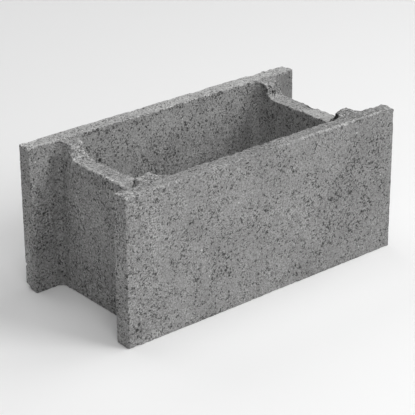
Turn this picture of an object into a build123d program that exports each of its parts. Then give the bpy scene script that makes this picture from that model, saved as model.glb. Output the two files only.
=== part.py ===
"""Hollow concrete formwork block, laid dry in courses and filled with concrete.

Frame: millimetres, origin at the bottom centre of the block. +X runs along the
length, +Y across the width, +Z is up. The block is one casting: two long face
shells joined by two cross webs that are set in from the ends.
"""

import os

from build123d import *

# ---------------------------------------------------------------- outer sizes
LENGTH = 500.0  # two blocks to the metre
WIDTH = 245.0
HEIGHT = 225.0

# ------------------------------------------------------------------ the cores
# Every core tapers, because the mould has to draw: shells and webs are thinner
# at the top face than at the bottom face.
SHELL_IN_TOP = 98.0  # half the gap between the shells
SHELL_IN_BOTTOM = 95.0
WEB_IN_TOP = 172.0  # web face towards the middle cavity, from the centre
WEB_IN_BOTTOM = 168.0
WEB_OUT_TOP = 198.5  # web face towards the end pocket, from the centre
WEB_OUT_BOTTOM = 204.0

# Coves where the webs meet the shells.
CAVITY_COVE_TOP = 20.0
CAVITY_COVE_BOTTOM = 18.0
# The two coves of an end pocket differ, and the two ends are the same after
# half a turn: wide at front left and back right, tight at the other two.
WIDE_COVE_TOP = 19.0
WIDE_COVE_BOTTOM = 13.0
TIGHT_COVE_TOP = 12.0
TIGHT_COVE_BOTTOM = 10.0

# -------------------------------------------- recess in the top of each web
# Rebar lies here, and the fill runs through from block to block.
RECESS_DEPTH = 21.0
RECESS_FOOT = 65.0  # half the flat floor
RECESS_MOUTH = 74.0  # half the opening at the top face

# ---------------------------------------------------------------------- edges
CORNER_ROUND = 2.0  # upright outer corners
ARRIS_ROUND = 1.5  # outer edges of the top face

# How far the cutting shapes run past the faces that they cut.
OVERRUN = 10.0


with BuildPart() as formwork_block:
    # The outer block, standing on its bottom face.
    with BuildSketch(Plane.XY) as outline:
        Rectangle(LENGTH, WIDTH)
        fillet(outline.vertices(), radius=CORNER_ROUND)
    extrude(amount=HEIGHT)

    # Middle cavity, open at the top and at the bottom.
    with BuildSketch(Plane.XY) as cavity_bottom:
        Rectangle(2 * WEB_IN_BOTTOM, 2 * SHELL_IN_BOTTOM)
        fillet(cavity_bottom.vertices(), radius=CAVITY_COVE_BOTTOM)
    with BuildSketch(Plane.XY.offset(HEIGHT)) as cavity_top:
        Rectangle(2 * WEB_IN_TOP, 2 * SHELL_IN_TOP)
        fillet(cavity_top.vertices(), radius=CAVITY_COVE_TOP)
    loft(ruled=True, mode=Mode.SUBTRACT)

    # End pockets, open at the top, at the bottom and at the block's end.
    # side is -1 for the left end and +1 for the right end.
    for side in (-1, 1):
        for level, web_out, shell_in, wide, tight in (
            (0.0, WEB_OUT_BOTTOM, SHELL_IN_BOTTOM, WIDE_COVE_BOTTOM, TIGHT_COVE_BOTTOM),
            (HEIGHT, WEB_OUT_TOP, SHELL_IN_TOP, WIDE_COVE_TOP, TIGHT_COVE_TOP),
        ):
            reach = LENGTH / 2 + OVERRUN - web_out
            with BuildSketch(Plane.XY.offset(level)) as pocket:
                with Locations((side * (web_out + reach / 2), 0)):
                    Rectangle(reach, 2 * shell_in)
                by_web = pocket.vertices().sort_by(Axis.X)
                by_web = by_web[:2] if side > 0 else by_web[-2:]
                by_web = by_web.sort_by(Axis.Y)
                # The wide cove is at the front of the left end and at the back
                # of the right end.
                wide_vertex, tight_vertex = (
                    (by_web[-1], by_web[0]) if side > 0 else (by_web[0], by_web[-1])
                )
                fillet(wide_vertex, radius=wide)
                tight_x, tight_y = tight_vertex.X, tight_vertex.Y
                fillet(
                    pocket.vertices().sort_by_distance((tight_x, tight_y, level))[0],
                    radius=tight,
                )
        loft(ruled=True, mode=Mode.SUBTRACT)

    # Recess across the top of each web, with sloped sides.
    for side in (-1, 1):
        run = WEB_OUT_BOTTOM - WEB_IN_BOTTOM + 2 * OVERRUN
        start = side * (WEB_IN_BOTTOM - OVERRUN)
        with BuildSketch(Plane.YZ.offset(start)) as recess:
            slope = (RECESS_MOUTH - RECESS_FOOT) / RECESS_DEPTH
            past = RECESS_MOUTH + slope * OVERRUN
            with BuildLine():
                Polyline(
                    (-past, HEIGHT + OVERRUN),
                    (-RECESS_FOOT, HEIGHT - RECESS_DEPTH),
                    (RECESS_FOOT, HEIGHT - RECESS_DEPTH),
                    (past, HEIGHT + OVERRUN),
                    close=True,
                )
            make_face()
        extrude(amount=side * run, mode=Mode.SUBTRACT)

    # The outer edges of the top face are slightly rounded.
    top_edges = formwork_block.edges().group_by(Axis.Z)[-1]
    outer_top = top_edges.filter_by(
        lambda e: abs(abs(e.center().Y) - WIDTH / 2) < CORNER_ROUND
    )
    fillet(outer_top, radius=ARRIS_ROUND)

formwork_block.part.label = "formwork_block"

os.makedirs("parts", exist_ok=True)
export_step(formwork_block.part, "parts/formwork_block.step")
print("volume, litres:", round(formwork_block.part.volume / 1e6, 3))
print("solids:", len(formwork_block.part.solids()))
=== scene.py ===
import math

import bpy
import numpy as np
from mathutils import Matrix, Vector


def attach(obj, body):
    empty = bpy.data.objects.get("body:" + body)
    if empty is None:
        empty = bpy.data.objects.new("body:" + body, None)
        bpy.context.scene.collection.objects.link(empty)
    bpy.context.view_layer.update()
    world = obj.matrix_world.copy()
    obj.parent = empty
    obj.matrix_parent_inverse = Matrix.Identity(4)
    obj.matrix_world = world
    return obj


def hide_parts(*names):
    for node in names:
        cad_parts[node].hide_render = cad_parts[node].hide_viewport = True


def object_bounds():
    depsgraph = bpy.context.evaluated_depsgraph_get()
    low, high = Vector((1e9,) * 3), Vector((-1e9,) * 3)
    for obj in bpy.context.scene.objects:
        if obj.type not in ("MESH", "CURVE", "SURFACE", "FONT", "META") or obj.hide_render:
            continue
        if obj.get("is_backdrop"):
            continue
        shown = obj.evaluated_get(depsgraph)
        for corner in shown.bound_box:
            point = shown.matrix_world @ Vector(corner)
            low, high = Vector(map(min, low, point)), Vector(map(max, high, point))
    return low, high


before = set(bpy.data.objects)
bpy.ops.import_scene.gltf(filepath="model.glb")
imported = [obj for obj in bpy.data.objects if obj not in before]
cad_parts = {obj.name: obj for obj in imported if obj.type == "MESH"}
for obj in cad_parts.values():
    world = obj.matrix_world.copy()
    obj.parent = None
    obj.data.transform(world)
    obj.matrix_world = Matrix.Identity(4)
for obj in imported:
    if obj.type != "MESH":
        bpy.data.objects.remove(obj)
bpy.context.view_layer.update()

scene = bpy.context.scene

# ---------------------------------------------------------------------------
# The camera. Distances are in metres, in the frame of the part.
# ---------------------------------------------------------------------------
RIGHT = Vector((0.764739, -0.644328, -0.003986))
UP = Vector((0.271373, 0.316463, 0.908960))
BACK = Vector((-0.584406, -0.696199, 0.416865))
PLACE = Vector((-1.452224, -1.720934, 1.128209))

cam_data = bpy.data.cameras.new("camera")
cam_data.sensor_fit = "HORIZONTAL"
cam_data.sensor_width = 36.0
cam_data.lens = 1685.03 / 415.0 * 36.0
cam_data.clip_start = 0.05
cam_data.clip_end = 50.0
camera = bpy.data.objects.new("camera", cam_data)
turn = Matrix((RIGHT, UP, BACK)).transposed().to_quaternion().to_matrix().to_4x4()
camera.matrix_world = Matrix.Translation(PLACE) @ turn
scene.collection.objects.link(camera)
scene.camera = camera

# ---------------------------------------------------------------------------
# The block's shape. Everything down to the mesh is in millimetres. A distance
# on the grid is negative in the concrete.
# ---------------------------------------------------------------------------
HX, HY, HZ = 250.0, 122.5, 225.0
SHELL_IN = (95.0, 98.0)  # bottom, top
WEB_IN = (168.0, 172.0)
WEB_OUT = (204.0, 198.5)
CAVITY_COVE = (18.0, 20.0)
WIDE_COVE = (13.0, 19.0)
TIGHT_COVE = (10.0, 12.0)
FLOOR_Z, FOOT_Y = 204.0, 65.0

STEP = 1.25
TRIANGLES = 196_000
MARGIN = 3.37 * STEP
LOW = np.array([-HX - MARGIN, -HY - MARGIN, -MARGIN])
COUNT = np.ceil((np.array([HX, HY, HZ]) + MARGIN - LOW) / STEP).astype(int) + 1
AXES = [(LOW[i] + STEP * np.arange(COUNT[i])).astype(np.float32) for i in range(3)]
X, Y, Z = AXES[0][:, None, None], AXES[1][None, :, None], AXES[2][None, None, :]
T = Z / HZ


def at_height(pair):
    return pair[0] + (pair[1] - pair[0]) * T


def ramp(v, lo, hi):
    """0 before lo, 1 after hi, smooth between. lo may be the larger."""
    t = np.clip((v - lo) / (hi - lo), 0.0, 1.0)
    return t * t * (3 - 2 * t)


def larger(a, b, k):
    """Largest of two distances, with the edge between them rounded over k."""
    h = np.maximum(k - np.abs(a - b), 0.0)
    return np.maximum(a, b) + h * h / (4.0 * k)


def smaller(a, b, k):
    return -larger(-a, -b, k)


def grid_noise(scale, seed):
    """Smooth noise of unit spread over the whole grid, with lumps of about scale.
    It is a random lattice read by cubic B-splines, one axis at a time."""
    sizes = [int((AXES[i][-1] - LOW[i]) / scale) + 5 for i in range(3)]
    out = np.random.default_rng(seed).standard_normal(sizes).astype(np.float32)
    for axis, low in zip(AXES, LOW):
        u = (axis - low) / scale
        i = np.floor(u).astype(int)
        f = (u - i).astype(np.float32)[:, None, None]
        w = ((1 - f) ** 3, 3 * f**3 - 6 * f**2 + 4, -3 * f**3 + 3 * f**2 + 3 * f + 1, f**3)
        read = w[0] * out[i]
        for j in (1, 2, 3):
            read += w[j] * out[i + j]
        out = np.ascontiguousarray(np.moveaxis(read, 0, 2))
    return out / out.std()


def slot_distance(x, y, wall, half, wide, tight):
    """Distance to an end pocket, which runs on past the end."""
    r = np.where(y > 0, wide, tight)
    qx, qy = wall - x + r, np.abs(y) - half + r
    inner = np.minimum(np.maximum(qx, qy), 0.0)
    return inner + np.hypot(np.maximum(qx, 0.0), np.maximum(qy, 0.0)) - r


def core_distance(hx, hy, r):
    qx, qy = np.abs(X) - hx + r, np.abs(Y) - hy + r
    inner = np.minimum(np.maximum(qx, qy), 0.0)
    return inner + np.hypot(np.maximum(qx, 0.0), np.maximum(qy, 0.0)) - r


def near(place, radius):
    """The part of the grid round a place, with coordinates from that place."""
    lo = np.maximum(((np.array(place) - radius - LOW) / STEP).astype(int), 0)
    hi = np.minimum(((np.array(place) + radius - LOW) / STEP).astype(int) + 2, COUNT)
    window = tuple(slice(a, b) for a, b in zip(lo, hi))
    x = AXES[0][window[0]][:, None, None] - place[0]
    y = AXES[1][window[1]][None, :, None] - place[1]
    z = AXES[2][window[2]][None, None, :] - place[2]
    return window, x, y, z


def lump(place, size, rough):
    """Distance to a rough lump with these half sizes, over a window of the grid."""
    window, x, y, z = near(place, max(size) * 1.5 + 4)
    r = np.sqrt((x / size[0]) ** 2 + (y / size[1]) ** 2 + (z / size[2]) ** 2)
    grain = 0.6 * fine[window] + 0.8 * middle[window]
    return window, (r - 1.0) * min(size) + rough * grain


def dig(place, size, rough=0.6, k=1.0, dark=0.0):
    window, d = lump(place, size, rough)
    solid[window] = larger(solid[window], -d, k)
    # With dark, the hollow is also painted with shade, darkest deep inside it.
    if dark:
        shade = dark * ramp(d, 1.6, -0.2)
        hollow_shade[window] = np.maximum(hollow_shade[window], shade)


def heap(place, size, rough=0.6, k=2.0):
    window, d = lump(place, size, rough)
    solid[window] = smaller(solid[window], d, k)


# Noise that several features share.
fine = grid_noise(2.3, 11)
middle = grid_noise(4.5, 12)
broad = grid_noise(13.0, 13)
slow = grid_noise(42.0, 14)

# How far each arris has worn: a little everywhere, more in places.
wear = np.clip(1.0 + 0.5 * broad + 0.4 * slow, 0.25, 2.6)
near_end = ramp(np.abs(X), 232.0, 249.0)
high = ramp(Z, 190.0, 205.0)

end_wear = high * near_end * (X > 0) + (0.6 + 0.4 * ramp(Z, 110.0, 170.0)) * (X < 0) * (Y < 0)
outer = larger(np.abs(X) - HX, np.abs(Y) - HY, 0.5 + 0.3 * wear + 2.0 * end_wear)
swell = (X < 0) * (Y < 0) * ramp(Z, 212.0, 196.0) * (0.8 + 1.8 * ramp(Z, 60.0, 130.0))
pocket_shape = (at_height(WEB_OUT), at_height(SHELL_IN) - swell, at_height(WIDE_COVE), at_height(TIGHT_COVE))
pockets = np.minimum(slot_distance(X, Y, *pocket_shape), slot_distance(-X, -Y, *pocket_shape))
cavity = core_distance(at_height(WEB_IN), at_height(SHELL_IN), at_height(CAVITY_COVE))
walls = larger(outer, -pockets, 0.8 + 0.4 * wear)
walls = np.maximum(walls, -cavity)

# The top bed is not quite level: it dips where it has worn.
flat_x, flat_y = AXES[0][:, None], AXES[1][None, :]
bed = 0.10 + 0.12 * broad[:, :, -6] + 0.14 * slow[:, :, -9] + 0.10 * middle[:, :, -4]
bed = bed + 1.7 * ramp(np.hypot(flat_x - 252, flat_y - 124), 26.0, 4.0)
bed = bed + 1.8 * ramp(np.hypot(flat_x - 252, flat_y + 124), 15.0, 2.0)
stub = ramp(np.abs(flat_x + 186), 26.0, 18.0) * ramp(flat_y, -112.0, -100.0) * ramp(flat_y, -60.0, -70.0)
bed = bed + stub * (1.25 * ramp(flat_x, -175.0, -187.0) + 0.5 * middle[:, :, -4])
stub = ramp(np.abs(flat_x - 184), 24.0, 17.0) * ramp(flat_y, -108.0, -98.0) * ramp(flat_y, -60.0, -70.0)
bed = bed + stub * (0.4 + 0.45 * middle[:, :, -4])
bed = bed + 3.5 * ramp(np.hypot(flat_x - 170, flat_y + 73), 17.0, 4.0)
bed = np.maximum(bed, 0.02)
top = Z - (HZ - bed[:, :, None])

# The recess in the top of each web: a rough floor that runs into the sloped
# sides through a small fillet. The right one is smoother, and has a step.
floor_z = 0.38 * middle[:, :, -14] + 0.3 * broad[:, :, -14] + 0.22 * fine[:, :, -14]
floor_z = FLOOR_Z + floor_z * np.where(flat_x > 0, 0.45, 1.0)
front_half = ramp(flat_y + 0.25 * (flat_x - 185.0), 3.0, 0.5) * (flat_x > 0)
floor_z = floor_z * (1 - front_half) + front_half * (FLOOR_Z + 0.7 + 0.12 * broad[:, :, -14])
side_y = ((np.abs(Y) - FOOT_Y) * 21.0 - (Z - FLOOR_Z) * 9.0) / math.hypot(21.0, 9.0)
side_y = side_y + 0.55 * middle + 0.35 * broad + 0.9 * (Y > 0) * (X < 0) * np.maximum(middle, 0)
recess = larger(side_y, floor_z[:, :, None] - Z, 6.0)

solid = larger(walls, top, 0.6 + 0.45 * wear + 1.2 * (Y < -112.0))
mouth = 0.9 + 0.6 * wear + 5.0 * (X < 0) * ramp(Y, 56.0, 66.0) * ramp(Z, 208.0, 215.0)
mouth = mouth + (X < 0) * (X > -180.0) * (0.8 + 2.4 * ramp(Y, 10.0, 26.0))
solid = larger(solid, -recess, mouth)
solid = larger(solid, -Z, 0.4 + 0.2 * wear)

# Two bottom corners at the left end have lost a small corner.
window, cx, cy, cz = near((-HX, HY, 0.0), 30.0)
cut = 0.331 * (cy + 18.5) - 0.943 * cz - 0.25 * cx + 0.5 * middle[window]
solid[window] = larger(solid[window], cut, 1.5)
window, cx, cy, cz = near((-HX, -HY, 0.0), 16.0)
cut = (1.0 - cx / 5.0 - cy / 3.5 - cz / 9.0) / 0.366 + 0.4 * middle[window]
solid[window] = larger(solid[window], cut, 1.5)

# How near an arris each place is, from what a wide rounding takes off there.
flat = np.maximum(np.maximum(np.maximum(walls, top), -recess), -Z)
rounded = larger(larger(larger(walls, top, 9.0), -recess, 9.0), -Z, 9.0)
arris = np.clip((rounded - flat) / 1.7, 0.0, 1.0)
del flat, rounded

# The outer top edge of the left web stands a little proud and is crumbly.
over_web = ramp(np.abs(Y), 74.0, 66.0)
lip = np.exp(-(((Z - 203.0) / 2.6) ** 2)) * np.exp(-(((X + 198.0) / 3.0) ** 2)) * over_web
lip = lip * np.clip(0.9 + 0.7 * middle, 0.0, 2.2)
web_top = ramp(Z, 192.0, 200.0) * ramp(-X, 160.0, 166.0) * ramp(np.abs(Y), 86.0, 76.0)

# Relief of the faces, kept shallow, and the crumbled arrises.
crumbs = np.maximum(0.6 * middle + 0.55 * fine, -0.7)
inner_top = high * ramp(np.abs(Y), 112.0, 104.0) * ramp(X, 160.0, 150.0)
amount = 0.35 + 0.12 * high + 0.20 * inner_top + 0.45 * web_top - 0.30 * high * ramp(Y, 112.0, 118.0)
solid = solid + 0.05 + 0.07 * fine + 0.09 * middle + 0.06 * broad + 0.06 * slow
solid = solid + arris * amount * (0.62 * crumbs - 0.05) * (0.6 + 0.4 * wear)
solid = solid - lip
solid = solid.astype(np.float32)

# Open pores. They crowd where the mix was dry. Their hollows are painted with shade.
crowd = np.clip(0.35 * slow + 0.45 * broad, -1.0, 1.2)
pore = grid_noise(1.9, 21) * 0.75 + grid_noise(3.1, 22) * 0.66
hole = np.clip((pore - 2.0 + 0.35 * crowd) / 0.55, 0.0, 1.0)
solid = solid + 1.15 * hole
hollow_shade = 0.75 * hole
del pore, hole

# Chips and hollows that the photo shows. Those given a darkness are painted with shade inside; the ones at the two
# front stubs chiefly paint the shadow in the corners there.
dig((172.0, -74.5, 217.5), (6.0, 6.8, 5.6), 0.9, 0.8, 1.0)
dig((176.0, -71.0, 214.0), (6.0, 4.0, 4.0), 0.8, 0.8, 1.0)
dig((169.0, -82.0, 219.0), (3.5, 4.0, 3.6), 0.7, 0.8, 0.9)
dig((-199.0, -67.2, 209.5), (3.0, 2.2, 2.8), 0.2, 0.4, 1.0)
dig((-199.2, -70.0, 214.0), (3.2, 2.6, 3.4), 0.2, 0.4, 1.0)
dig((-199.0, -73.2, 218.6), (2.8, 2.4, 2.8), 0.2, 0.4, 1.0)
dig((-171.5, 39.5, 203.5), (5.0, 5.5, 4.5), 0.5, 0.8, 1.0)
dig((-128.4, 97.6, 175.0), (2.2, 2.0, 2.4), 0.3, 0.6, 1.0)
dig((-133.0, 97.7, 184.0), (1.6, 1.8, 2.6), 0.3, 0.6, 0.8)
dig((-171.0, -8.0, 204.0), (2.2, 5.0, 2.0), 0.5, 0.8)
dig((170.4, 23.5, 205.0), (2.4, 4.0, 2.2), 0.3, 0.8)
dig((198.0, -4.0, 203.8), (4.5, 8.5, 1.8), 0.2, 0.4, 1.0)
dig((182.0, 70.0, 211.5), (1.7, 1.7, 1.8), 0.2, 0.5, 1.0)
heap((-174.0, -73.0, 221.5), (4.5, 3.5, 3.5), 0.6, 1.5)
heap((170.5, 71.0, 214.0), (2.6, 4.5, 7.0), 0.8, 2.5)
heap((171.0, 66.0, 207.0), (2.4, 4.0, 3.2), 0.8, 2.0)
for y, z, r in ((-231.2, 32.8, 1.9), (-229.8, 21.1, 1.8), (-236.1, 25.3, 1.9), (-234.7, 14.7, 1.5), (-241.1, 32.4, 1.3)):
    dig((y, -122.6, z), (r, 1.6, r), 0.25, 0.4, 1.0)


# ---------------------------------------------------------------------------
# From the grid to a mesh.
# ---------------------------------------------------------------------------
def shifted(a, offset):
    """The part of a that starts at this offset, cut to what all offsets share."""
    return a[tuple(slice(o, n - 1 + o) for o, n in zip(offset, a.shape))]


def untangle(d):
    """Fills in places where two bits of surface would share an edge or a point."""
    ends = [(0, 0, 0), (1, 0, 0), (0, 1, 0), (0, 0, 1), (1, 1, 0), (1, 0, 1), (0, 1, 1), (1, 1, 1)]
    for _ in range(12):
        inside = d < 0
        found = 0
        for axis in range(3):
            eu, ev = np.zeros(3, int), np.zeros(3, int)
            eu[(axis + 1) % 3], ev[(axis + 2) % 3] = 1, 1
            ring = [np.zeros(3, int), eu, eu + ev, ev]
            a, b, c, e = (shifted(inside, r) for r in ring)
            bad = np.argwhere((a == c) & (b == e) & (a != b))
            found += len(bad)
            if len(bad):
                at = np.stack([bad + r for r in ring])
                v = d[tuple(at.transpose(2, 0, 1))]
                pick = np.where(v >= 0, v, np.inf).argmin(0)
                d[tuple(at[pick, np.arange(len(bad))].T)] = -0.02 * STEP
        inside = d < 0
        count = sum(shifted(inside, e).astype(np.uint8) for e in ends)
        for o in ends[:1] + ends[1:4]:
            far = tuple(1 - np.array(o))
            a, b = shifted(inside, o), shifted(inside, far)
            two = np.argwhere(((count == 2) & a & b) | ((count == 6) & ~a & ~b))
            found += len(two)
            if len(two):
                at = np.stack([two + np.array(e) for e in ends])
                v = d[tuple(at.transpose(2, 0, 1))]
                pick = np.where(v >= 0, v, np.inf).argmin(0)
                d[tuple(at[pick, np.arange(len(two))].T)] = -0.02 * STEP
        if not found:
            break


def surface_nets(d):
    inside = d < 0
    n = np.array(d.shape)
    corners = [(i, j, k) for i in (0, 1) for j in (0, 1) for k in (0, 1)]
    count = np.zeros(n - 1, np.uint8)
    for c in corners:
        count += inside[tuple(slice(c[i], n[i] - 1 + c[i]) for i in range(3))]
    cells = np.argwhere((count > 0) & (count < 8))
    values = np.stack([d[tuple((cells + c).T)] for c in corners], 1)
    total = np.zeros((len(cells), 3), np.float32)
    hits = np.zeros(len(cells), np.float32)
    for a in range(8):
        for b in range(a + 1, 8):
            ca, cb = np.array(corners[a]), np.array(corners[b])
            if np.abs(ca - cb).sum() != 1:
                continue
            va, vb = values[:, a], values[:, b]
            cut = (va < 0) != (vb < 0)
            t = np.where(cut, va / np.where(cut, va - vb, 1.0), 0.0)
            total += cut[:, None] * (ca + t[:, None] * (cb - ca))
            hits += cut
    places = LOW + STEP * (cells + total / hits[:, None])
    index = np.full(n - 1, -1, np.int32)
    index[tuple(cells.T)] = np.arange(len(cells))
    quads = []
    for axis in range(3):
        u, v = (axis + 1) % 3, (axis + 2) % 3
        first = tuple(slice(0, n[i] - 1) if i == axis else slice(None) for i in range(3))
        second = tuple(slice(1, n[i]) if i == axis else slice(None) for i in range(3))
        edges = np.argwhere(inside[first] != inside[second])
        edges = edges[(edges[:, u] > 0) & (edges[:, v] > 0)]
        edges = edges[(edges[:, u] < n[u] - 1) & (edges[:, v] < n[v] - 1)]
        leaving = inside[tuple(edges.T)]
        eu, ev = np.zeros(3, int), np.zeros(3, int)
        eu[u], ev[v] = 1, 1
        ring = [edges - eu - ev, edges - ev, edges, edges - eu]
        q = np.stack([index[tuple(r.T)] for r in ring], 1)
        q[~leaving] = q[~leaving][:, ::-1]
        quads.append(q)
    return places, np.concatenate(quads)


def split(places, quads):
    """Two triangles for each quad, across its shorter diagonal."""
    a, b, c, d = (places[quads[:, i]] for i in range(4))
    short = ((a - c) ** 2).sum(1) <= ((b - d) ** 2).sum(1)
    one = np.where(short[:, None], quads[:, [0, 1, 2]], quads[:, [0, 1, 3]])
    two = np.where(short[:, None], quads[:, [0, 2, 3]], quads[:, [1, 2, 3]])
    return np.concatenate([one, two])


def largest_part(n, faces):
    """The faces of the largest connected part."""
    label = np.arange(n)
    while True:
        low = label[faces].min(1)
        new = label.copy()
        for i in range(3):
            np.minimum.at(new, faces[:, i], low)
        new = new[new]
        if (new == label).all():
            break
        label = new
    own = label[faces[:, 0]]
    names, sizes = np.unique(own, return_counts=True)
    return faces[own == names[sizes.argmax()]]


def mesh_of(name, places, faces):
    used = np.unique(faces)
    new = np.full(len(places), -1)
    new[used] = np.arange(len(used))
    faces, places = new[faces], places[used]
    me = bpy.data.meshes.new(name)
    me.vertices.add(len(places))
    me.vertices.foreach_set("co", (places / 1000.0).astype(np.float32).ravel())
    me.loops.add(faces.size)
    me.loops.foreach_set("vertex_index", faces.astype(np.int32).ravel())
    me.polygons.add(len(faces))
    me.polygons.foreach_set("loop_start", np.arange(0, faces.size, 3, dtype=np.int32))
    me.update(calc_edges=True)
    return me


def read(me):
    v = np.empty(len(me.vertices) * 3, np.float32)
    me.vertices.foreach_get("co", v)
    f = np.empty(len(me.loops), np.int32)
    me.loops.foreach_get("vertex_index", f)
    return v.reshape(-1, 3).astype(float) * 1000.0, f.reshape(-1, 3)


untangle(solid)
places, quads = surface_nets(solid)
faces = split(places, quads)
raw = mesh_of("raw", places, faces)
holder = bpy.data.objects.new("raw", raw)
scene.collection.objects.link(holder)
thin = holder.modifiers.new("thin", "DECIMATE")
thin.ratio = min(1.0, TRIANGLES / len(faces))
bpy.context.view_layer.update()
thinned = bpy.data.meshes.new_from_object(holder.evaluated_get(bpy.context.evaluated_depsgraph_get()))
places, faces = read(thinned)
bpy.data.objects.remove(holder)
bpy.data.meshes.remove(raw)
bpy.data.meshes.remove(thinned)

lo, hi = np.array([-HX, -HY, 0.0]), np.array([HX, HY, HZ])
places = np.clip(places, lo, hi)
faces = largest_part(len(places), faces)
me = mesh_of("formwork_block_cast", places, faces)
places, faces = read(me)
block = bpy.data.objects.new("formwork_block_cast", me)
scene.collection.objects.link(block)

# Flat faces keep their own shading right up to their edges.
me.polygons.foreach_set("use_smooth", np.ones(len(faces), bool))
me.set_sharp_from_angle(angle=math.radians(42.0))
weigh = block.modifiers.new("weigh", "WEIGHTED_NORMAL")
weigh.mode, weigh.weight, weigh.keep_sharp = "FACE_AREA", 50, True
bpy.context.view_layer.update()
graph = bpy.context.evaluated_depsgraph_get()
me = bpy.data.meshes.new_from_object(block.evaluated_get(graph), preserve_all_data_layers=True, depsgraph=graph)
block.modifiers.clear()
old, block.data = block.data, me
bpy.data.meshes.remove(old)
me.name = "formwork_block_cast"
places, faces = read(me)


def side_charts(gap=10.0):
    """A flat chart for each side of the block: its normal, its box, the axes that
    it is drawn along and the shift that sets it on the shared square."""

    def axes(normal):
        up = (0, 1, 0) if normal[2] else (0, 0, 1)
        return np.cross(up, normal).astype(float), np.array(up, float)

    webs = [((s, 0, 0), (t - 2, -96, 0), (t + 2, 96, HZ)) for s, t in ((1, -170), (-1, 170), (-1, -201), (1, 201))]
    pockets = [((0, -s, 0), (lo, min(s * 95, s * 98), 0), (lo + 48, max(s * 95, s * 98), HZ)) for lo in (-HX, 202) for s in (-1, 1)]
    ends = [((t, 0, 0), (t * HX, lo, 0), (t * HX, lo + 25.5, HZ)) for t in (-1, 1) for lo in (-HY, 97)]
    rows = [
        [((0, s, 0), (-HX, s * HY, 0), (HX, s * HY, HZ)) for s in (-1, 1)],
        [((0, 0, 1), (-HX, -HY, FLOOR_Z), (HX, HY, HZ)), ((0, 0, -1), (-HX, -HY, 0), (HX, HY, 0))],
        [((0, 1, 0), (-170, -98, 0), (170, -95, HZ)), ((0, -1, 0), (-170, 95, 0), (170, 98, HZ)), webs[0], pockets[0]],
        webs[1:] + pockets[1:] + ends,
    ]
    out, up_to, widest = [], gap, 0.0
    for row in rows:
        along, tall = gap, 0.0
        for normal, lo, hi in row:
            u, v = axes(normal)
            span = [sorted((np.dot(lo, w), np.dot(hi, w))) for w in (u, v)]
            out.append((normal, lo, hi, u, v, along - span[0][0], up_to - span[1][0]))
            along += span[0][1] - span[0][0] + gap
            tall = max(tall, span[1][1] - span[1][0])
        up_to += tall + gap
        widest = max(widest, along)
    # The slopes of the recesses go where the cavity leaves the top's chart empty.
    top_u, top_v = out[2][5:7]
    for i, (lo, s) in enumerate((lo, s) for lo in (-204, 168) for s in (-1, 1)):
        box = (lo, min(s * 65, s * 74), FLOOR_Z), (lo + 36, max(s * 65, s * 74), HZ)
        u, v = axes((0, -s, 0))
        start = min(np.dot(box[0], u), np.dot(box[1], u))
        out.append(((0, -s, 0), *box, u, v, top_u - 120 + 60 * i - start, top_v - FLOOR_Z))
    return out, max(up_to, widest)


def lay_out(me, places, faces):
    """Gives each face to the chart that it lies nearest to and faces the most."""
    corner = places[faces]
    facing = np.cross(corner[:, 1] - corner[:, 0], corner[:, 2] - corner[:, 0])
    facing /= np.maximum(np.linalg.norm(facing, axis=1), 1e-12)[:, None]
    middle_of = corner.mean(1)
    charts, size = side_charts()
    cost = []
    for normal, lo, hi, *_ in charts:
        off = np.linalg.norm(middle_of - np.clip(middle_of, lo, hi), axis=1)
        agree = facing @ np.array(normal, float)
        cost.append(off + 5.0 * (1 - agree) + 60.0 * (agree < 0.2))
    own = np.argmin(cost, 0)
    uv = np.empty((len(faces), 3, 2))
    for k, (*_, u, v, at_u, at_v) in enumerate(charts):
        mine = own == k
        uv[mine] = np.stack([corner[mine] @ u + at_u, corner[mine] @ v + at_v], -1) / size
    layer = me.uv_layers.new(name="OFBake")
    layer.uv.foreach_set("vector", uv.astype(np.float32).ravel())
    print("charts:", len(charts), "square of", round(size), "mm, reach", uv.min().round(3), uv.max().round(3))


lay_out(me, places, faces)
print("mesh:", len(places), "vertices", len(faces), "triangles")


# ---------------------------------------------------------------------------
# What the material is told about each vertex.
# ---------------------------------------------------------------------------
def sample(field, p):
    """Trilinear reading of a field of the grid."""
    u = (p - LOW) / STEP
    i = np.clip(np.floor(u).astype(int), 0, COUNT - 2)
    f = u - i
    out = 0.0
    for dx in (0, 1):
        for dy in (0, 1):
            for dz in (0, 1):
                w = (f[:, 0] if dx else 1 - f[:, 0]) * (f[:, 1] if dy else 1 - f[:, 1])
                w = w * (f[:, 2] if dz else 1 - f[:, 2])
                out = out + w * field[i[:, 0] + dx, i[:, 1] + dy, i[:, 2] + dz]
    return out


x, y, z = places.T
noise = {n: sample(f, places) for n, f in (("fine", fine), ("middle", middle), ("broad", broad), ("slow", slow))}
edge = sample(arris, places)
# Painted shade in the pores, chips and hollows.
dark = np.clip(sample(hollow_shade, places), 0, 1)
on_front = ramp(y, -119.0, -121.0)

# Where a skin of cement closed the surface, and where the mix stayed open.
skin = np.clip(0.45 * noise["slow"] + 0.4 * noise["broad"], -0.8, 1.0)
skin = skin + on_front * 0.8 * ramp(z, 188.0, 206.0) * ramp(x, 20.0, 70.0)
skin = skin + on_front * 0.6 * ramp(z, 204.0, 214.0)
skin = skin + on_front * 0.3 * ramp(x, -150.0, -215.0) * ramp(z, 120.0, 160.0)
open_mix = on_front * ramp(np.hypot((x - 125) / 135, (z - 105) / 75), 1.15, 0.6)
inside = ramp(np.abs(y), 112.0, 104.0) * ramp(z, 224.0, 216.0) * ramp(np.abs(x), 176.0, 166.0)
open_mix = open_mix + 0.45 * inside
skin = np.clip(skin - 0.8 * open_mix, -1.2, 1.2)
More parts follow.
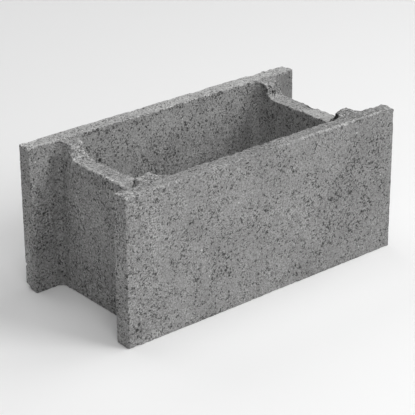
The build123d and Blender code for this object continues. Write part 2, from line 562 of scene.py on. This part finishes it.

# Tone of the concrete, as a factor, with painted light and shade added in places.
tone_and_painted_light = 1.0 + 0.025 * noise["slow"] + 0.03 * noise["broad"]
# The front face is painted darker, more so towards its right end: painted shade for light that falls off across it.
tone_and_painted_light = tone_and_painted_light * (1 - on_front * (0.07 + 0.08 * ramp(x, -60.0, 240.0)))
# The back shell's top is painted much paler and the front shell's top a little darker: partly painted light from how
# the tops catch it, partly a paler, smoother finish on the back top.
on_top = ramp(z, 221.0, 223.5)
front_top = on_top * ramp(y, -88.0, -96.0)
tone_and_painted_light = tone_and_painted_light * (1 - 0.07 * front_top)
back_top = on_top * ramp(y, 97.0, 98.6)
tone_and_painted_light = tone_and_painted_light * (1 + back_top * 0.44)
# The cavity's back wall is painted lighter towards the top and darker lower down, and its right wall lighter: painted
# light and shade for how the light reaches into the cavity.
back_wall = inside * ramp(y, 84.0, 94.0)
right_wall = inside * ramp(x, 158.0, 166.0)
tone_and_painted_light = tone_and_painted_light * (1 + 0.22 * np.maximum(back_wall * ramp(z, 150.0, 205.0), right_wall))
tone_and_painted_light = tone_and_painted_light * (1 - 0.05 * back_wall * ramp(z, 190.0, 150.0))
# In the end pockets the back wall is painted darker towards the bottom: painted shade.
in_pocket = ramp(x, -198.6, -199.8) * ramp(z, 203.5, 200.5)
pocket_wall = in_pocket * ramp(y, 80.0, 90.0) * ramp(y, 112.0, 104.0)
tone_and_painted_light = tone_and_painted_light * (1 - 0.20 * pocket_wall * ramp(z, 190.0, 40.0))
# The cove where the pocket wall meets the web is painted darker: painted shade in the corner.
cove = in_pocket * ramp(y, 74.0, 86.0) * ramp(y, 112.0, 104.0) * ramp(x, -219.0, -211.0)
tone_and_painted_light = tone_and_painted_light * (1 - cove * (0.12 + 0.08 * ramp(z, 70.0, 130.0)))
# The web's face in the pocket is painted a little lighter above mid height: painted light falling more on its upper
# part.
tone_and_painted_light = tone_and_painted_light * (1 + 0.07 * in_pocket * ramp(x, -208.0, -206.0) * ramp(y, 66.0, 56.0) * ramp(z, 80.0, 130.0))
# The back-right pocket wall is painted darker: painted shade, as the light hardly reaches it. Its smooth middle part
# is darker still.
far_wall = ramp(x, 200.0, 206.0) * ramp(y, 84.0, 92.0) * ramp(y, 112.0, 104.0) * ramp(z, 223.8, 222.8)
smooth_wall = far_wall * ramp(x, 216.0, 224.0) * ramp(x, 246.0, 240.0) * ramp(z, 221.0, 216.0)
tone_and_painted_light = tone_and_painted_light * (1 - 0.16 * far_wall - 0.10 * smooth_wall)
# The recess floors are painted paler, the right one more; on its raised front half this is a painted highlight where
# it turns to the light.
seat = ramp(np.abs(z - 204.5), 3.5, 2.5) * ramp(np.abs(y), 72.0, 66.0) * ramp(np.abs(np.abs(x) - 186.3), 14.4, 13.0)
tone_and_painted_light = tone_and_painted_light * (1 + seat * np.where(x < 0, 0.08, 0.22 + 0.24 * ramp(y + 0.25 * (x - 185.0), 5.0, 0.0)))
tone_and_painted_light = tone_and_painted_light * (1 - 0.09 * seat * ramp(y, 14.0, 24.0) * ramp(x, -184.0, -179.0) * (x < 0))
tone_and_painted_light = tone_and_painted_light * (1 - 0.03 * on_front * ramp(z, 210.0, 221.0))
# The left end face is painted lighter on its front part above mid height, painted light falling more on its upper
# part; its back part is painted lighter, most towards the bottom.
shell_end = ramp(x, -248.0, -249.4) * ramp(z, 223.0, 221.0)
tone_and_painted_light = tone_and_painted_light * (1 + shell_end * (y < 0) * ramp(z, 80.0, 110.0) * (0.06 + 0.06 * ramp(y, -112.0, -106.0)))
tone_and_painted_light = tone_and_painted_light * (1 + shell_end * (y > 0) * (0.07 + 0.11 * ramp(z, 190.0, 110.0)))
tone_and_painted_light = tone_and_painted_light * (1 + 0.04 * edge)

# Where loose coarse grains lie open on top, and where it is trowelled smooth.
end_top = on_top * ramp(x, -222.0, -230.0)
stub_top = ramp(z, 216.0, 221.0) * ramp(np.abs(np.abs(x) - 186.0), 22.0, 16.0) * ramp(np.abs(np.abs(y) - 86.0), 16.0, 12.0)
slope = ramp(z, 205.0, 209.0) * ramp(np.abs(np.abs(x) - 186.0), 18.0, 14.0) * ramp(np.abs(y - 70.0), 10.0, 6.0)
slope = slope * ramp(z, 222.5, 220.5)
right_top = front_top * ramp(x, 160.0, 180.0)
left_faces = ramp(x, -197.0, -199.5) * ramp(z, 203.5, 201.5)
coarse = end_top + stub_top + slope + right_top + 0.25 * on_top + 0.15 * left_faces
coarse = np.clip(coarse, 0.0, 1.0) - 0.55 * seat * (x > 0) - 0.7 * smooth_wall
skin = skin - 0.6 * left_faces - 0.3 * on_front * ramp(x, -60.0, -140.0) + 2.6 * smooth_wall
# The top at the left end is painted paler, a painted highlight on its rough grains; the right recess's slope is
# painted darker.
tone_and_painted_light = tone_and_painted_light * (1 + 0.10 * end_top) * (1 - 0.22 * slope * (x > 0))
marks = {"dark": dark, "skin": skin, "tone_and_painted_light": tone_and_painted_light, "coarse": coarse}
for name, values in marks.items():
    me.attributes.new(name, "FLOAT", "POINT").data.foreach_set("value", values.astype(np.float32))


# ---------------------------------------------------------------------------
# The concrete.
# ---------------------------------------------------------------------------
class Graph:
    """Short ways to add shader nodes."""

    def __init__(self, material):
        material.use_nodes = True
        self.tree = material.node_tree
        self.tree.nodes.clear()

    def node(self, kind, settings=None, **inputs):
        n = self.tree.nodes.new(kind)
        for k, v in (settings or {}).items():
            setattr(n, k, v)
        for k, v in inputs.items():
            socket = n.inputs[int(k[1:])] if k[0] == "i" and k[1:].isdigit() else n.inputs[k.replace("_", " ")]
            if isinstance(v, bpy.types.NodeSocket):
                self.tree.links.new(v, socket)
            else:
                socket.default_value = v
        return n

    def math(self, operation, a, b=0.0, c=0.0, clamp=False):
        return self.node("ShaderNodeMath", {"operation": operation, "use_clamp": clamp}, i0=a, i1=b, i2=c).outputs[0]

    def mul(self, a, b):
        return self.math("MULTIPLY", a, b)

    def add(self, a, b):
        return self.math("ADD", a, b)

    def mad(self, a, b, c):
        return self.math("MULTIPLY_ADD", a, b, c)

    def step(self, v, lo, hi, out_lo=0.0, out_hi=1.0):
        settings = {"interpolation_type": "SMOOTHSTEP", "clamp": True}
        n = self.node("ShaderNodeMapRange", settings, i0=v, i1=lo, i2=hi, i3=out_lo, i4=out_hi)
        return n.outputs[0]

    def noise(self, vector, scale, detail=2.0, rough=0.5, offset=0.0):
        if offset:
            vector = self.node("ShaderNodeVectorMath", {"operation": "ADD"}, i0=vector, i1=(offset, -offset, 2 * offset)).outputs[0]
        n = self.node("ShaderNodeTexNoise", {"noise_dimensions": "3D"}, Vector=vector, Scale=scale, Detail=detail, Roughness=rough)
        return n.outputs[0]

    def mark(self, name):
        return self.node("ShaderNodeAttribute", {"attribute_name": name}).outputs["Fac"]


concrete = bpy.data.materials.new("concrete")
g = Graph(concrete)
here = g.node("ShaderNodeTexCoord").outputs["Object"]
m_dark, m_skin, m_tone_and_painted_light, m_coarse = (g.mark(n) for n in ("dark", "skin", "tone_and_painted_light", "coarse"))

# Grain of sand, about 2 mm, and of larger grit, about 5 mm.
sand = g.noise(here, 440.0, 1.0, 0.5)
grit = g.noise(here, 190.0, 2.0, 0.6, 3.1)
patch = g.noise(here, 34.0, 3.0, 0.6, 7.7)
# Small open pores between the grains, fewer where the skin is closed.
pits = g.noise(here, 285.0, 2.0, 0.6, 11.3)
uneven = g.step(g.noise(here, 70.0, 2.0, 0.5, 17.1), 0.35, 0.65, 0.65, 1.25)
limit = g.mad(m_skin, 0.025, 0.682)
limit = g.mad(uneven, -0.06, limit)
limit = g.mad(patch, -0.10, limit)
pits = g.math("SUBTRACT", pits, limit)
pits = g.step(pits, 0.0, 0.085)
# Rare pale grains.
cell = g.node("ShaderNodeTexVoronoi", {"feature": "F1"}, Vector=here, Scale=75.0)
pick = g.step(g.node("ShaderNodeSeparateColor", None, i0=cell.outputs["Color"]).outputs[0], 0.955, 0.965)
speck = g.mul(g.step(cell.outputs["Distance"], 0.13, 0.07), pick)

# The sand shows more where the skin is open, and its pale side less than its dark.
sand = g.add(sand, -0.5)
sand = g.mad(g.math("MAXIMUM", sand, 0.0), -0.25, sand)
uneven = g.math("MAXIMUM", g.mad(m_coarse, 0.5, uneven), 0.2)
value = g.mul(sand, g.mul(uneven, 2.45))
value = g.math("MAXIMUM", g.add(value, 1.035), 0.35)
coarse = g.math("MAXIMUM", m_coarse, 0.0)
value = g.mul(value, g.mad(g.add(grit, -0.5), g.mad(coarse, 1.5, 0.6), 1.0))
value = g.mul(value, g.mad(patch, 0.20, 0.90))
# Tone, with its painted light and shade.
value = g.mul(value, m_tone_and_painted_light)
value = g.mul(value, g.mad(pits, -0.72, 1.0))

# A paler line painted along some arrises: a painted highlight where the arris catches the light, broken up by the
# grain.
at = g.node("ShaderNodeSeparateXYZ", None, i0=here)
at_x, at_y, at_z = at.outputs
highlight_breakup = g.step(g.noise(here, 120.0, 2.0, 0.6, 23.3), 0.38, 0.56, 0.45, 1.25)


def band(v, middle_of, half, fade):
    """1 within half of middle_of, 0 beyond half and fade."""
    away = g.math("ABSOLUTE", g.add(v, -middle_of))
    return g.step(away, half + fade, half)


front_arris_highlight = g.mul(band(at_y, -0.1195, 0.0022, 0.0022), g.step(at_z, 0.2215, 0.2235))
front_arris_highlight = g.mul(front_arris_highlight, g.step(at_y, -0.1224, -0.1215))
strength = g.add(g.step(at_x, 0.055, 0.085, 0.07, 0.54), g.step(at_x, -0.13, -0.16, 0.0, 0.12))
strength = g.add(strength, g.step(at_x, 0.155, 0.175, 0.0, -0.12))
arris_highlights = g.mul(front_arris_highlight, strength)
on_seat = g.mul(band(at_z, 0.2045, 0.0025, 0.001), g.step(g.math("ABSOLUTE", at_y), 0.068, 0.064))
arris_highlights = g.add(arris_highlights, g.mul(g.mul(on_seat, band(at_x, -0.1975, 0.0020, 0.0018)), 0.38))
arris_highlights = g.add(arris_highlights, g.mul(g.mul(on_seat, band(at_x, -0.1755, 0.0020, 0.0020)), 0.16))
# Paint the highlights along the arrises.
value = g.mul(value, g.mad(arris_highlights, highlight_breakup, 1.0))
# The painted shade of the pores, chips and hollows.
value = g.mul(value, g.mad(m_dark, -0.93, 1.0))
value = g.mad(speck, 1.0, value)
value = g.mul(value, 0.283)
sand = g.add(sand, 0.5)
colour = g.node("ShaderNodeCombineColor", None, i0=value, i1=g.mul(value, 0.998), i2=g.mul(value, 0.99)).outputs[0]

relief = g.mad(sand, 0.55, g.mul(grit, 0.75))
relief = g.mad(pits, -0.55, relief)
relief = g.mul(relief, g.mad(m_skin, -0.25, 0.85))
bump = g.node("ShaderNodeBump", None, Strength=0.75, Distance=0.0011, Height=relief)
rough = g.mad(pits, 0.06, g.mad(sand, 0.12, 0.82))
shader = g.node("ShaderNodeBsdfPrincipled", None)
shader.inputs["Specular IOR Level"].default_value = 0.25
g.tree.links.new(colour, shader.inputs["Base Color"])
g.tree.links.new(rough, shader.inputs["Roughness"])
g.tree.links.new(bump.outputs[0], shader.inputs["Normal"])
out = g.node("ShaderNodeOutputMaterial")
g.tree.links.new(shader.outputs[0], out.inputs[0])
me.materials.append(concrete)

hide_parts("formwork_block")
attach(block, "root")

# ---------------------------------------------------------------------------
# Floor and light.
# ---------------------------------------------------------------------------
floor_me = bpy.data.meshes.new("floor")
s = 9.0
floor_me.from_pydata([(-s, -s, 0), (s, -s, 0), (s, s, 0), (-s, s, 0)], [], [(0, 1, 2, 3)])
floor = bpy.data.objects.new("floor", floor_me)
scene.collection.objects.link(floor)
pale = bpy.data.materials.new("pale_floor")
g = Graph(pale)
flat_shader = g.node("ShaderNodeBsdfDiffuse", None, Color=(0.90, 0.90, 0.90, 1.0))
out = g.node("ShaderNodeOutputMaterial")
g.tree.links.new(flat_shader.outputs[0], out.inputs[0])
floor_me.materials.append(pale)
floor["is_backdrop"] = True

world = bpy.data.worlds.new("world")
scene.world = world
world.use_nodes = True
world.node_tree.nodes["Background"].inputs[0].default_value = (1.0, 1.0, 1.0, 1.0)
world.node_tree.nodes["Background"].inputs[1].default_value = 0.12


def softbox(name, place, aim, size, watts):
    data = bpy.data.lights.new(name, "AREA")
    data.shape = "RECTANGLE"
    data.size, data.size_y = size
    data.energy = watts
    lamp = bpy.data.objects.new(name, data)
    lamp.location = place
    lamp.rotation_mode = "QUATERNION"
    lamp.rotation_quaternion = (Vector(aim) - Vector(place)).to_track_quat("-Z", "Y")
    scene.collection.objects.link(lamp)
    return lamp


softbox("front_left", (-1.6, -2.6, 2.4), (0.0, 0.0, 0.1), (1.8, 1.8), 36.0)
softbox("front_right", (1.6, -2.6, 2.4), (0.0, 0.0, 0.1), (1.8, 1.8), 72.0)
softbox("over", (0.0, 0.0, 4.2), (0.0, 0.0, 0.1), (3.0, 3.0), 43.0)
softbox("right", (3.0, -0.6, 3.0), (0.0, 0.0, 0.1), (2.4, 2.4), 46.0)
softbox("back", (0.0, 2.8, 2.8), (0.0, 0.0, 0.1), (3.0, 2.0), 22.0)

scene.view_settings.view_transform = "Standard"
scene.view_settings.look = "None"

lo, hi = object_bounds()
